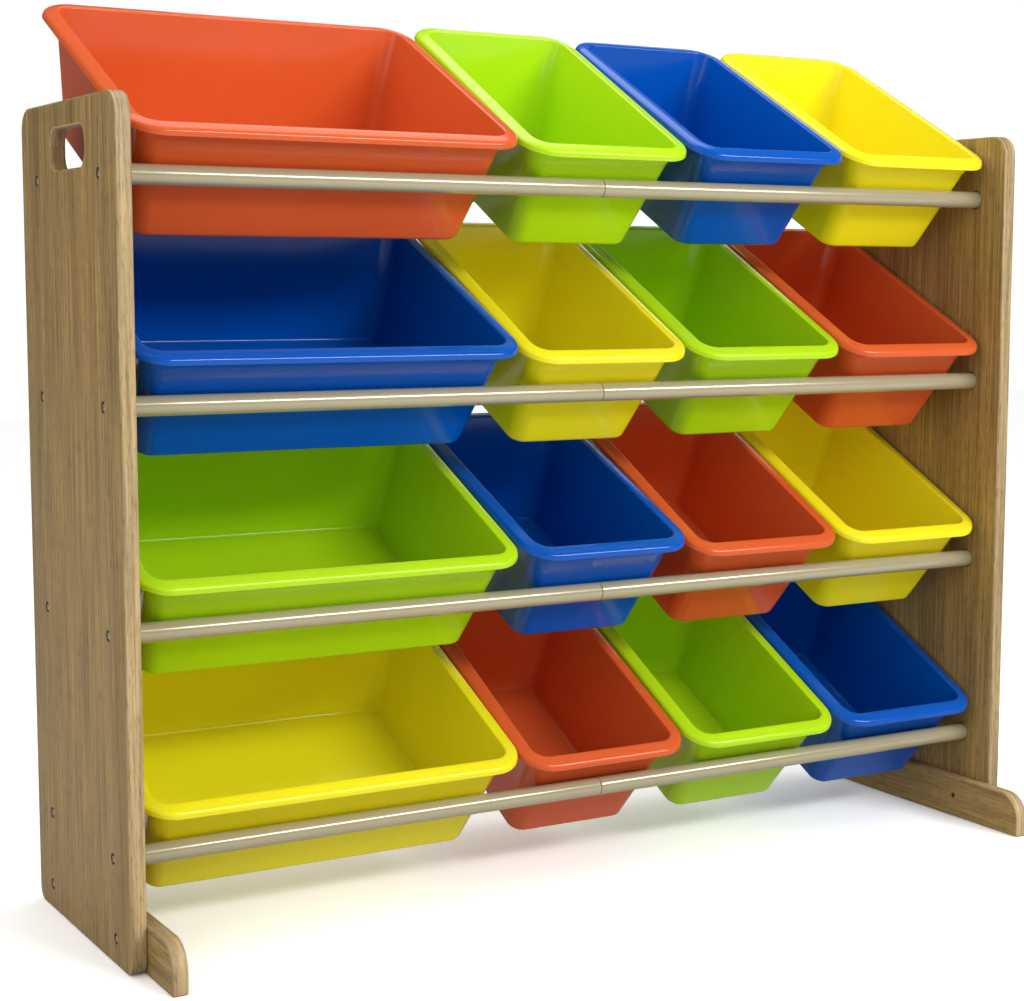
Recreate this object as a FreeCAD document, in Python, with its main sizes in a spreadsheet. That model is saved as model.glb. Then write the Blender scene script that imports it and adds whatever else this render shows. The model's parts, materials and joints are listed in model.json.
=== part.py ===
import FreeCAD, Part
import math
import os

import Sketcher
from FreeCAD import Placement, Rotation, Vector

# Toy storage organizer: two wooden side panels on feet, joined by eight round rods, with sixteen
# plastic bins that lean forward on a front and a rear rod in each of four rows.
# Millimetres. +X is to the right as one faces the organizer, +Y to its back, +Z up.
# The origin is on the floor, midway across the width and midway between the front of the feet
# and the rearmost bin rim.

doc = FreeCAD.newDocument("toy_storage_organizer")
sheet = doc.addObject("Spreadsheet::Sheet", "dims")


class Size:
    """A size that is known both as a number and as the sheet formula that features are bound to."""

    def __init__(self, text, number):
        self.text = text
        self.number = number

    @staticmethod
    def of(other):
        return other if isinstance(other, Size) else Size(repr(other), other)

    def joined(self, sign, left, right, number):
        return Size("(" + left.text + " " + sign + " " + right.text + ")", number)

    def __add__(self, other):
        other = Size.of(other)
        return self.joined("+", self, other, self.number + other.number)

    def __sub__(self, other):
        other = Size.of(other)
        return self.joined("-", self, other, self.number - other.number)

    def __mul__(self, other):
        other = Size.of(other)
        return self.joined("*", self, other, self.number * other.number)

    def __truediv__(self, other):
        other = Size.of(other)
        return self.joined("/", self, other, self.number / other.number)

    def __neg__(self):
        return Size("(-1 * " + self.text + ")", -self.number)

    __radd__ = __add__
    __rmul__ = __mul__


def cell(alias, value):
    """Put one driving dimension in the sheet and give it back as a Size."""
    cell.row += 1
    address = "B" + str(cell.row)
    sheet.set("A" + str(cell.row), alias)
    sheet.set(address, str(value))
    sheet.setAlias(address, alias)
    return Size("dims." + alias, value)


cell.row = 0

# side panels and feet: 15 mm laminated board
overall_width = cell("overall_width", 1040.0)
board = cell("board", 15.0)
panel_height = cell("panel_height", 787.0)
panel_depth = cell("panel_depth", 280.0)
panel_front = cell("panel_front", -123.6)  # Y of the panels' front edges
panel_top_corner = cell("panel_top_corner", 22.0)
panel_foot_corner = cell("panel_foot_corner", 14.0)
slot_length = cell("slot_length", 101.0)
slot_width = cell("slot_width", 38.0)
slot_corner = cell("slot_corner", 15.0)
slot_back = cell("slot_back", 136.5)  # slot's middle, behind the panel's front edge
slot_up = cell("slot_up", 743.5)
foot_height = cell("foot_height", 47.0)
foot_reach = cell("foot_reach", 64.0)  # in front of the panel
foot_corner = cell("foot_corner", 28.0)
foot_screw_up = cell("foot_screw_up", 25.0)
foot_screw_front = cell("foot_screw_front", 43.0)
foot_screw_rear = cell("foot_screw_rear", 237.0)

# rods: painted steel tube in two halves, a joining pin in the middle, a plastic plug in each end
rod_radius = cell("rod_radius", 9.5)
rod_wall = cell("rod_wall", 1.0)
rod_front = cell("rod_front", 47.4)  # behind the panel's front edge
rod_rear = cell("rod_rear", 232.0)
row_first = cell("row_first", 99.0)  # height of the lowest row's rods
row_pitch = cell("row_pitch", 206.0)
socket_depth = cell("socket_depth", 4.0)
socket_play = cell("socket_play", 0.4)
pin_length = cell("pin_length", 90.0)
plug_length = cell("plug_length", 28.0)
inner_play = cell("inner_play", 0.05)

# screws: driven from outside through the panels, their heads sunk in flat-bottomed recesses
screw_radius = cell("screw_radius", 2.4)
screw_hole = cell("screw_hole", 2.7)
screw_head = cell("screw_head", 4.6)
screw_head_height = cell("screw_head_height", 2.2)
recess_radius = cell("recess_radius", 5.2)
recess_depth = cell("recess_depth", 3.4)
screw_length = cell("screw_length", 30.0)
foot_screw_length = cell("foot_screw_length", 21.0)

# bins: measured square to the rim, which is the plane z = 0 of each bin's own frame
small_width = cell("small_width", 199.5)
large_width = cell("large_width", 400.4)
bin_length = cell("bin_length", 310.0)
bin_height = cell("bin_height", 124.2)
bin_wall = cell("bin_wall", 2.2)
rim_corner = cell("rim_corner", 36.0)
rim_overhang = cell("rim_overhang", 13.5)
rim_depth = cell("rim_depth", 8.5)  # height of the lip that turns down round the rim
tub_corner = cell("tub_corner", 17.0)
side_draw = cell("side_draw", 0.134)  # how far each wall draws in for each mm down
end_draw = cell("end_draw", 0.207)
bin_play = cell("bin_play", 0.3)  # between a bin and the rods that it leans on
small_tilt = cell("small_tilt", 27.2)
large_tilt = cell("large_tilt", 25.0)
column_large = cell("column_large", -301.2)  # X of each column's middle
column_left = cell("column_left", 0.0)
column_middle = cell("column_middle", 202.2)
column_right = cell("column_right", 403.2)
# three bins have settled at a tilt of their own
settled_top_large = cell("settled_top_large", 1.6)
settled_top_left = cell("settled_top_left", 1.1)
settled_third_left = cell("settled_third_left", -3.4)

# round forms that repeat many times are made of this many flats
RIM_FLATS = 5  # in each corner of a bin's rim
FIRST_FLAT = 2 - math.sqrt(2)  # how far a flat that touches a unit round cuts into its corner
SECOND_FLATS = math.tan(math.pi / 8) - math.tan(math.pi / 16)  # and the flats beside that one
SOCKET_FLATS = 12
BORE_FLATS = 6  # in a rod's bore, its pin and its plugs
SCREW_FLATS = 6

ROWS = (1, 2, 3, 4)  # from the top down
SIDES = {"left": -1, "right": 1}
ROD_LINES = {"front": rod_front, "rear": rod_rear}
FOOT_SCREW_LINES = (foot_screw_front, foot_screw_rear)
COLUMNS = {"large": column_large, "left": column_left, "middle": column_middle, "right": column_right}
COLOURS = {
    1: {"large": "orange", "left": "green", "middle": "blue", "right": "yellow"},
    2: {"large": "blue", "left": "yellow", "middle": "green", "right": "orange"},
    3: {"large": "green", "left": "blue", "middle": "orange", "right": "yellow"},
    4: {"large": "yellow", "left": "orange", "middle": "green", "right": "blue"},
}
SETTLED = {
    (1, "large"): settled_top_large,
    (1, "left"): settled_top_left,
    (3, "left"): settled_third_left,
}

nodes = []
master_parts = []


def row_height(row):
    """Height of the rods of a row."""
    return row_first + row_pitch * (len(ROWS) - row)


def bind(feature, prop, size):
    size = Size.of(size)
    feature.setExpression(prop, size.text)


def new_body(label, kept=True):
    body = doc.addObject("PartDesign::Body", label)
    body.Label = label
    (nodes if kept else master_parts).append(body)
    return body


def origin_plane(body, role):
    return next(f for f in body.Origin.OriginFeatures if f.Role == role)


def new_sketch(body, plane, lift=None):
    """A sketch on one of the body's own origin planes, raised by lift along its normal."""
    sketch = body.newObject("Sketcher::SketchObject", body.Name + "_sketch")
    sketch.AttachmentSupport = [(origin_plane(body, plane), "")]
    sketch.MapMode = "FlatFace"
    if lift is not None:
        sketch.AttachmentOffset = Placement(Vector(0, 0, lift.number), Rotation())
        bind(sketch, "AttachmentOffset.Base.z", lift)
    return sketch


def hold(sketch, kind, references, size):
    """Add a dimension to a sketch and bind it to the sheet."""
    size = Size.of(size)
    index = sketch.addConstraint(Sketcher.Constraint(kind, *references, size.number))
    bind(sketch, "Constraints[" + str(index) + "]", size)


def outline(sketch, left, low, right, high, corners):
    """A closed rectangle. corners holds the radii at low left, low right, high right, high left.

    A corner without a radius, None, stays sharp.
    """
    left, low, right, high = (Size.of(v) for v in (left, low, right, high))
    radii = [0.0 if c is None else c.number for c in corners]
    ends = [(left, low), (right, low), (right, high), (left, high)]
    points = [Vector(x.number, y.number, 0) for x, y in ends]
    lines = []
    for i in range(4):
        along = (points[(i + 1) % 4] - points[i]).normalize()
        start = points[i] + along * radii[i]
        stop = points[(i + 1) % 4] - along * radii[(i + 1) % 4]
        lines.append(sketch.addGeometry(Part.LineSegment(start, stop), False))
        level = "Horizontal" if i % 2 == 0 else "Vertical"
        sketch.addConstraint(Sketcher.Constraint(level, lines[i]))
    for i, corner in enumerate(corners):
        if corner is None:
            sketch.addConstraint(Sketcher.Constraint("Coincident", lines[i - 1], 2, lines[i], 1))
            continue
        before = (points[i - 1] - points[i]).normalize()
        after = (points[(i + 1) % 4] - points[i]).normalize()
        centre = points[i] + (before + after) * radii[i]
        angle = math.pi + i * math.pi / 2
        circle = Part.Circle(centre, Vector(0, 0, 1), radii[i])
        arc = sketch.addGeometry(Part.ArcOfCircle(circle, angle, angle + math.pi / 2), False)
        sketch.addConstraint(Sketcher.Constraint("Tangent", lines[i - 1], 2, arc, 1))
        sketch.addConstraint(Sketcher.Constraint("Tangent", arc, 2, lines[i], 1))
        hold(sketch, "Radius", (arc,), corner)
    hold(sketch, "DistanceY", (-1, 1, lines[0], 1), low)
    hold(sketch, "DistanceX", (-1, 1, lines[1], 1), right)
    hold(sketch, "DistanceY", (-1, 1, lines[2], 1), high)
    hold(sketch, "DistanceX", (-1, 1, lines[3], 1), left)


def closed_line(sketch, points):
    """Straight lines from point to point and back to the first, each point held in place."""
    spots = [Vector(across.number, up.number, 0) for across, up in points]
    lines = []
    for start, stop in zip(spots, spots[1:] + spots[:1]):
        lines.append(sketch.addGeometry(Part.LineSegment(start, stop), False))
    for i, (across, up) in enumerate(points):
        sketch.addConstraint(Sketcher.Constraint("Coincident", lines[i - 1], 2, lines[i], 1))
        hold(sketch, "DistanceX", (-1, 1, lines[i], 1), across)
        hold(sketch, "DistanceY", (-1, 1, lines[i], 1), up)


def on_circle(centre_across, centre_up, radius, degrees):
    """The point at an angle on a circle."""
    angle = math.radians(degrees)
    across = centre_across + radius * round(math.cos(angle), 9)
    up = centre_up + radius * round(math.sin(angle), 9)
    return across, up


def flat_sided(sketch, centre_across, centre_up, radius, flats):
    """A regular polygon whose corners lie at radius."""
    centre_across, centre_up = Size.of(centre_across), Size.of(centre_up)
    turns = [360 * i / flats for i in range(flats)]
    closed_line(sketch, [on_circle(centre_across, centre_up, radius, t) for t in turns])


def ring(sketch, centre_x, centre_y, radius):
    """A circle held by its centre and radius."""
    centre_x, centre_y, radius = (Size.of(v) for v in (centre_x, centre_y, radius))
    middle = Vector(centre_x.number, centre_y.number, 0)
    circle = Part.Circle(middle, Vector(0, 0, 1), radius.number)
    index = sketch.addGeometry(circle, False)
    hold(sketch, "Radius", (index,), radius)
    hold(sketch, "DistanceX", (-1, 1, index, 3), centre_x)
    hold(sketch, "DistanceY", (-1, 1, index, 3), centre_y)


def pad(body, sketch, length, reverse=False):
    feature = body.newObject("PartDesign::Pad", body.Name + "_pad")
    feature.Profile = sketch
    bind(feature, "Length", length)
    feature.Reversed = reverse
    doc.recompute()
    return feature


def cut(body, sketch, length, reverse=False):
    """Pocket a sketch and make sure that material came away."""
    before = body.Shape.Volume
    feature = body.newObject("PartDesign::Pocket", body.Name + "_pocket")
    feature.Profile = sketch
    bind(feature, "Length", length)
    feature.Reversed = reverse
    doc.recompute()
    if body.Shape.Volume > before - 1.0:
        raise RuntimeError(body.Label + ": a pocket cut nothing")
    return feature


def pattern_up(body, features):
    """Repeat features in every row, upwards."""
    feature = body.newObject("PartDesign::LinearPattern", body.Name + "_rows")
    feature.Originals = features
    feature.Direction = (features[0].Profile[0], ["V_Axis"])
    bind(feature, "Length", row_pitch * (len(ROWS) - 1))
    feature.Occurrences = len(ROWS)
    body.Tip = feature
    doc.recompute()
    return feature


def screw_holes(body, side, up):
    """Screw holes through a side panel, with recesses in its outer face, all at one height."""
    lines = ROD_LINES.values() if up is row_first else FOOT_SCREW_LINES
    inwards = side < 0
    recesses = new_sketch(body, "YZ_Plane")
    bores = new_sketch(body, "YZ_Plane")
    for back in lines:
        flat_sided(recesses, back, up, recess_radius, SCREW_FLATS)
        flat_sided(bores, back, up, screw_hole, SCREW_FLATS)
    recess_cut = cut(body, recesses, recess_depth, reverse=inwards)
    return [recess_cut, cut(body, bores, board, reverse=inwards)]


def board_outline(label, side, low, high, front, rear, corners):
    """A board that stands with its outer face in its own YZ plane and its thickness inwards."""
    body = new_body(label)
    sketch = new_sketch(body, "YZ_Plane")
    outline(sketch, front, low, rear, high, corners)
    pad(body, sketch, board, reverse=side > 0)
    return body


def side_panel(side_name):
    side = SIDES[side_name]
    low, high = panel_foot_corner, panel_top_corner
    corners = (low, low, high, high)
    body = board_outline(side_name + "_side_panel", side, 0, panel_height, 0, panel_depth, corners)

    slot = new_sketch(body, "YZ_Plane")
    half_length, half_width = slot_length / 2, slot_width / 2
    outline(
        slot,
        slot_back - half_length,
        slot_up - half_width,
        slot_back + half_length,
        slot_up + half_width,
        [slot_corner] * 4,
    )
    cut(body, slot, board, reverse=side < 0)

    sockets = new_sketch(body, "YZ_Plane", board * -side)
    for line in ROD_LINES.values():
        flat_sided(sockets, line, row_first, rod_radius + socket_play, SOCKET_FLATS)
    socket_cut = cut(body, sockets, socket_depth, reverse=side > 0)
    pattern_up(body, [socket_cut] + screw_holes(body, side, row_first))
    screw_holes(body, side, foot_screw_up)
    body.Placement.Base = Vector(side * overall_width.number / 2, panel_front.number, 0)


def foot(side_name):
    side = SIDES[side_name]
    corners = (None, None, panel_foot_corner, foot_corner)
    body = board_outline(side_name + "_foot", side, 0, foot_height, -foot_reach, panel_depth, corners)
    bores = new_sketch(body, "YZ_Plane")
    for back in FOOT_SCREW_LINES:
        flat_sided(bores, back, foot_screw_up, screw_radius, SCREW_FLATS)
    cut(body, bores, board, reverse=side < 0)
    out = overall_width.number / 2 - board.number
    body.Placement.Base = Vector(side * out, panel_front.number, 0)


def rod_half(line_name, row, side_name):
    """One half of a rod, from the floor of its socket to the seam at mid width."""
    side = SIDES[side_name]
    body = new_body(line_name + "_rod_row" + str(row) + "_" + side_name)
    section = new_sketch(body, "YZ_Plane")
    ring(section, 0, 0, rod_radius)
    flat_sided(section, 0, 0, rod_radius - rod_wall, BORE_FLATS)
    pad(body, section, overall_width / 2 - board + socket_depth, reverse=side < 0)
    back = panel_front.number + ROD_LINES[line_name].number
    body.Placement.Base = Vector(0, back, row_height(row).number)


def stick(label, radius, length, flats):
    """A straight piece along its own X axis from x = 0."""
    body = new_body(label, kept=False)
    section = new_sketch(body, "YZ_Plane")
    flat_sided(section, 0, 0, radius, flats)
    pad(body, section, length)
    return body


def screw(label, length):
    """A screw with its head's underside at x = 0 and its end at x = length."""
    body = stick(label, screw_radius, length, SCREW_FLATS)
    head = new_sketch(body, "YZ_Plane")
    flat_sided(head, 0, 0, screw_head, SCREW_FLATS)
    pad(body, head, screw_head_height, reverse=True)
    return body


def group(label, master, places):
    """Identical pieces as one node of separate solids."""
    copies = []
    for place in places:
        copy = master.Shape.copy()
        copy.Placement = place
        copies.append(copy)
    node = doc.addObject("Part::Feature", label)
    node.Label = label
    node.Shape = Part.makeCompound(copies)
    nodes.append(node)


def rod_places(x, turn):
    """A place on every rod axis at x, turned by turn degrees about Z."""
    places = []
    for row in ROWS:
        for line in ROD_LINES.values():
            at = Vector(x, panel_front.number + line.number, row_height(row).number)
            places.append(Placement(at, Rotation(Vector(0, 0, 1), turn)))
    return places


def rod_fittings():
    inner = rod_radius - rod_wall - inner_play
    pin = stick("pin", inner, pin_length, BORE_FLATS)
    group("rod_joining_pins", pin, rod_places(-pin_length.number / 2, 0))
    plug = stick("plug", inner, plug_length, BORE_FLATS)
    rod_screw = screw("rod_screw", screw_length)
    foot_screw = screw("foot_screw", foot_screw_length)
    for side_name, side in SIDES.items():
        turn = 0 if side < 0 else 180
        rod_end = side * (overall_width.number / 2 - board.number + socket_depth.number)
        head_seat = side * (overall_width.number / 2 - recess_depth.number)
        group(side_name + "_rod_end_plugs", plug, rod_places(rod_end, turn))
        group(side_name + "_rod_screws", rod_screw, rod_places(head_seat, turn))
        places = []
        for back in FOOT_SCREW_LINES:
            at = Vector(head_seat, panel_front.number + back.number, foot_screw_up.number)
            places.append(Placement(at, Rotation(Vector(0, 0, 1), turn)))
        group(side_name + "_foot_screws", foot_screw, places)


def rim_outline(sketch, half_width, half_length, corner):
    """A rectangle about the sketch's origin whose round corners are made of RIM_FLATS each."""
    points = []
    for quarter, (across, up) in enumerate([(1, 1), (-1, 1), (-1, -1), (1, -1)]):
        middle = ((half_width - corner) * across, (half_length - corner) * up)
        for step in range(RIM_FLATS + 1):
            turn = 90 * (quarter + step / RIM_FLATS)
            points.append(on_circle(*middle, corner, turn))
    closed_line(sketch, points)


def tub(body, kind, width, inset, floor_depth):
    """Add or take away the tub's drawn-in form, from the rim's plane down to floor_depth."""
    before = body.Shape.Volume if body.Tip else 0.0
    wedge = body.newObject("PartDesign::" + kind, body.Name + "_" + kind.lower())
    wedge.AttachmentSupport = [(origin_plane(body, "XZ_Plane"), "")]
    wedge.MapMode = "FlatFace"
    half_width = width / 2 - rim_overhang - inset
    half_length = bin_length / 2 - rim_overhang - inset
    floor_half_width = half_width - side_draw * floor_depth
    floor_half_length = half_length - end_draw * floor_depth
    for prop, size in {
        "Ymin": -floor_depth,
        "Ymax": Size.of(0),
        "Xmin": -floor_half_width,
        "Xmax": floor_half_width,
        "Zmin": -floor_half_length,
        "Zmax": floor_half_length,
        "X2min": -half_width,
        "X2max": half_width,
        "Z2min": -half_length,
        "Z2max": half_length,
    }.items():
        bind(wedge, prop, size)
    doc.recompute()
    if abs(body.Shape.Volume - before) < 1.0:
        raise RuntimeError(body.Label + ": a wedge changed nothing")


def work_corners(body, kind, prop, size, floor_depth):
    """Fillet or chamfer the edges that run down to floor_depth in the tub's corners."""
    worked = body.Tip
    names = []
    for i, edge in enumerate(worked.Shape.Edges):
        box = edge.BoundBox
        reaches = abs(box.ZMin + floor_depth.number) < 0.01
        if reaches and box.ZLength > bin_height.number / 2:
            names.append("Edge" + str(i + 1))
    feature = body.newObject("PartDesign::" + kind, body.Name + "_" + kind.lower())
    feature.Base = (worked, names)
    bind(feature, prop, size)
    doc.recompute()


def seat(tilt):
    """Where a bin's rim centre lies, from the panel's front edge and the rods' height.

    The tub's floor rests on the rear rod and its front wall leans on the front rod. In the bin's
    own frame v runs back and n runs up, so a rod centre at (y, z) has
    v = (y - rim_y) cos + (z - rim_z) sin and n = -(y - rim_y) sin + (z - rim_z) cos.
    """
    c, s = math.cos(math.radians(tilt)), math.sin(math.radians(tilt))
    draw = end_draw.number
    clear = rod_radius.number + bin_play.number
    wall_at_rim = bin_length.number / 2 - rim_overhang.number
    front_y, rear_y = rod_front.number, rod_rear.number
    # floor:      rim_y * s - rim_z * c = floor_side
    # front wall: rim_y * (c - draw * s) + rim_z * (s + draw * c) = wall_side
    floor_side = rear_y * s - bin_height.number - clear
    wall_side = clear * math.hypot(1, draw) + wall_at_rim + front_y * (c - draw * s)
    a, b, d, e = s, -c, c - draw * s, s + draw * c
    spread = a * e - b * d
    rim_y = (floor_side * e - b * wall_side) / spread
    rim_z = (a * wall_side - floor_side * d) / spread
    return rim_y, rim_z


def storage_bin(row, column):
    large = column == "large"
    width = large_width if large else small_width
    size_name = "large" if large else "small_" + column
    body = new_body("bin_row" + str(row) + "_" + size_name + "_" + COLOURS[row][column])

    tub(body, "AdditiveWedge", width, Size.of(0), bin_height)

    # a flange all round with a lip that turns down
    rim = new_sketch(body, "XY_Plane")
    rim_outline(rim, width / 2, bin_length / 2, rim_corner)
    pad(body, rim, bin_wall, reverse=True)
    lip = new_sketch(body, "XY_Plane")
    rim_outline(lip, width / 2, bin_length / 2, rim_corner)
    rim_outline(lip, *[half - bin_wall for half in (width / 2, bin_length / 2, rim_corner)])
    pad(body, lip, rim_depth, reverse=True)

    # the inside's corners are three flats each that touch the round of the same radius
    inner_depth = bin_height - bin_wall
    inner_corner = tub_corner - bin_wall
    tub(body, "SubtractiveWedge", width, bin_wall, inner_depth)
    work_corners(body, "Chamfer", "Size", inner_corner * FIRST_FLAT, inner_depth)
    work_corners(body, "Chamfer", "Size", inner_corner * SECOND_FLATS, inner_depth)
    work_corners(body, "Fillet", "Radius", tub_corner, bin_height)

    lean = (large_tilt if large else small_tilt).number
    if (row, column) in SETTLED:
        lean += SETTLED[(row, column)].number
    rim_y, rim_z = seat(lean)
    at = Vector(COLUMNS[column].number, panel_front.number + rim_y, row_height(row).number + rim_z)
    body.Placement = Placement(at, Rotation(Vector(1, 0, 0), lean))


for side_name in SIDES:
    side_panel(side_name)
    foot(side_name)
for row in ROWS:
    for line_name in ROD_LINES:
        for side_name in SIDES:
            rod_half(line_name, row, side_name)
rod_fittings()
for row in ROWS:
    for column in COLUMNS:
        storage_bin(row, column)
doc.recompute()

for thing in doc.Objects:
    if "Invalid" in thing.State or "Error" in thing.State:
        raise RuntimeError(thing.Name + " failed: " + ", ".join(thing.State))
for node in nodes:
    if node.Shape.isNull() or not node.Shape.isValid():
        raise RuntimeError(node.Label + " has no valid shape")

os.makedirs("parts", exist_ok=True)
for node in nodes:
    node.Shape.exportStep("parts/" + node.Label + ".step")
print(len(nodes), "nodes written")
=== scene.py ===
"""A toy storage organizer: oak side boards, painted rods and sixteen lift-out plastic bins.

Everything is in metres in the organizer's own frame: +X to the right seen from the front, +Y to
the back, +Z up, with the origin on the floor under its middle.
"""

import json
import math

import bmesh
import bpy
from mathutils import Matrix, Vector


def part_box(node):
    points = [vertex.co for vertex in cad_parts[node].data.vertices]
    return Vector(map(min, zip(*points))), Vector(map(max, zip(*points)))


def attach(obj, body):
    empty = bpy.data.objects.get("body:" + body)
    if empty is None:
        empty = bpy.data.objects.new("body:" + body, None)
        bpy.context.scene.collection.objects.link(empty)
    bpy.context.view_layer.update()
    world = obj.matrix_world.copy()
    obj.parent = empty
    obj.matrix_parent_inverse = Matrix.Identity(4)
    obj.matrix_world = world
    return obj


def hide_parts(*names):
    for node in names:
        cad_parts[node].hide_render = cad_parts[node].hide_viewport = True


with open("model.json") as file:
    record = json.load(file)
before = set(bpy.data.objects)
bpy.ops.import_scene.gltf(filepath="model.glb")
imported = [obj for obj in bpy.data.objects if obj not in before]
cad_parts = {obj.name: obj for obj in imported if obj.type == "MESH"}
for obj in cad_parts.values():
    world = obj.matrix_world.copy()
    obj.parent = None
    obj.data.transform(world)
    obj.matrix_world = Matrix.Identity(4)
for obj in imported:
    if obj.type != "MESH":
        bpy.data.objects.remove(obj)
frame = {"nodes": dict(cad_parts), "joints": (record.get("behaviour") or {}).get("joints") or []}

bl_info = {
    "name": "Toy Storage Organizer",
    "version": (1, 0, 0),
    "blender": (4, 5, 0),
    "location": "View3D > Sidebar > Organizer",
    "description": "Builds the boards, rods, screws and bins of a toy storage organizer",
    "category": "Object",
}

MM = 0.001
GRAIN_MAP = "grain"
# the third slot holds the board core, darkened as painted shade for the bored holes
FACE, BAND, SHADED_CORE = 0, 1, 2  # material slots of a board
SIDES = {"left": -1, "right": 1}
FRAME_BODY = "frame"
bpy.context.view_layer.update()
CORNER_STEPS = 12  # segments in a quarter turn seen from a board's or a bin's broad side
ROUND_STEPS = 5  # segments in a quarter turn of a rounded edge
HOLE_STEPS = 40  # segments round a bored hole
SMALLEST_RADIUS = 0.05 * MM  # of a corner that insets have used up
MERGE_DISTANCE = 0.001 * MM
SHARP_ANGLE = 35  # degrees past which an edge between two faces stays sharp
HEXAGON_SHARE = 1 / math.cos(math.pi / 6)  # a six-sided screw head's width over its height

# places that the frame gives
PANEL_LOW, PANEL_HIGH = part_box("left_side_panel")
FOOT_LOW, FOOT_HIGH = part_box("left_foot")
BOARD = PANEL_HIGH.x - PANEL_LOW.x  # a board's thickness
OUTER_FACE = -PANEL_LOW.x  # of a side panel, from the middle
INNER_FACE = OUTER_FACE - BOARD
ROD_NODES = sorted(n for n in frame["nodes"] if "_rod_row" in n)
BIN_NODES = sorted(n for n in frame["nodes"] if n.startswith("bin_row"))


def middle_of(node):
    low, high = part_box(node)
    return (low + high) / 2


def screw_lines(node):
    """The places (y, z) of the two screws in a node, from its box."""
    low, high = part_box(node)
    height = (high.z + low.z) / 2
    reach = (high.z - low.z) / 2 * HEXAGON_SHARE
    return [(low.y + reach, height), (high.y - reach, height)]


ROD_LINES = [(middle_of(n).y, middle_of(n).z) for n in ROD_NODES if n.endswith("_left")]
ROD_RADIUS = (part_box(ROD_NODES[0])[1].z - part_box(ROD_NODES[0])[0].z) / 2
ROD_END = max(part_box(n)[1].x for n in ROD_NODES)
FOOT_SCREW_LINES = screw_lines("left_foot_screws")


# ---------------------------------------------------------------- settings


def length_prop(name, description, default):
    return bpy.props.FloatProperty(
        name=name, description=description, default=default, subtype="DISTANCE"
    )


def lengths_prop(name, description, default):
    return bpy.props.FloatVectorProperty(
        name=name,
        description=description,
        size=len(default),
        default=default,
        subtype="XYZ_LENGTH",
    )


def colour_prop(name, description, default):
    return bpy.props.FloatVectorProperty(
        name=name, description=description, size=3, default=default, subtype="COLOR"
    )


class BoardSettings(bpy.types.PropertyGroup):
    eased_edge: length_prop("Eased edge", "Radius along the boards' edges", 1.8 * MM)
    top_corner: length_prop("Top corner", "Radius of a side panel's top corners", 22 * MM)
    low_corner: length_prop(
        "Low corner", "Radius of a side panel's bottom corners and a foot's rear corner", 14 * MM
    )
    toe_corner: length_prop("Toe corner", "Radius at the front end of a foot", 28 * MM)
    slot_size: lengths_prop(
        "Handle slot", "Length and height of the handle slot", (101 * MM, 38 * MM)
    )
    slot_corner: length_prop("Slot corner", "Radius of the handle slot's corners", 15 * MM)
    slot_place: lengths_prop(
        "Slot place",
        "Middle of the slot, behind the front edge and above the floor",
        (136.5 * MM, 743.5 * MM),
    )
    recess_radius: length_prop(
        "Screw recess", "Radius of the recess round each screw head", 5.2 * MM
    )
    recess_depth: length_prop("Recess depth", "Depth of the recess round each screw head", 2.3 * MM)
    socket_play: length_prop(
        "Socket play", "Gap between a rod and the socket that it ends in", 0.45 * MM
    )
    foot_screw_radius: length_prop(
        "Foot screw hole",
        "Radius of the screw holes that come out of a foot's inner face",
        2.6 * MM,
    )
    wood_colour: colour_prop("Wood", "Middle tone of the wood grain", (0.378, 0.240, 0.082))
    edge_colour: colour_prop("Edge band", "Tone of the edge band", (0.44, 0.312, 0.155))


class RodSettings(bpy.types.PropertyGroup):
    wall: length_prop("Tube wall", "Wall thickness of a rod", 1.0 * MM)
    end_round: length_prop(
        "End rounding", "Radius on a tube's ends, which shows at the seam", 0.45 * MM
    )
    seam: length_prop("Seam", "Gap between a rod's two halves", 0.6 * MM)
    paint_colour: colour_prop("Paint", "Colour of the rods' paint", (0.43, 0.375, 0.235))


class ScrewSettings(bpy.types.PropertyGroup):
    head_radius: length_prop("Head radius", "Radius of a screw's head", 3.7 * MM)
    head_height: length_prop("Head height", "Height of a screw's head", 1.9 * MM)
    shank_radius: length_prop("Shank radius", "Radius of a screw's shank", 2.3 * MM)
    drive_width: length_prop("Drive width", "Width of each arm of the cross in the head", 1.1 * MM)


class BinSettings(bpy.types.PropertyGroup):
    wall: length_prop("Wall", "Wall thickness of a bin", 2.2 * MM)
    rim_overhang: length_prop("Rim overhang", "How far the rim stands out from the tub", 13.5 * MM)
    rim_depth: length_prop("Rim depth", "Height of the lip that turns down round the rim", 8.5 * MM)
    rim_round: length_prop("Rim rounding", "Radius along the top of the lip", 5.6 * MM)
    rim_corner: length_prop("Rim corner", "Radius of the rim's corners seen from above", 36 * MM)
    height: length_prop("Height", "Height of a bin square to its rim", 124.2 * MM)
    length: length_prop("Length", "Length of a bin over its rim, from front to back", 310 * MM)
    tub_corner: lengths_prop(
        "Tub corners",
        "Radius of the tub's corners at the mouth and at the floor",
        (19 * MM, 16 * MM),
    )
    floor_round: length_prop("Floor rounding", "Radius along the floor's outer edge", 4.5 * MM)
    side_draw: bpy.props.FloatProperty(
        name="Side draw",
        description="How far the side walls draw in for each unit down",
        default=0.134,
    )
    end_draw: bpy.props.FloatProperty(
        name="End draw",
        description="How far the front and back walls draw in for each unit down",
        default=0.207,
    )
    orange: colour_prop("Orange", "Colour of the orange bins", (0.69, 0.112, 0.026))
    green: colour_prop("Green", "Colour of the green bins", (0.45, 0.73, 0.008))
    blue: colour_prop("Blue", "Colour of the blue bins", (0.0, 0.088, 0.46))
    yellow: colour_prop("Yellow", "Colour of the yellow bins", (0.90, 0.78, 0.013))


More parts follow.
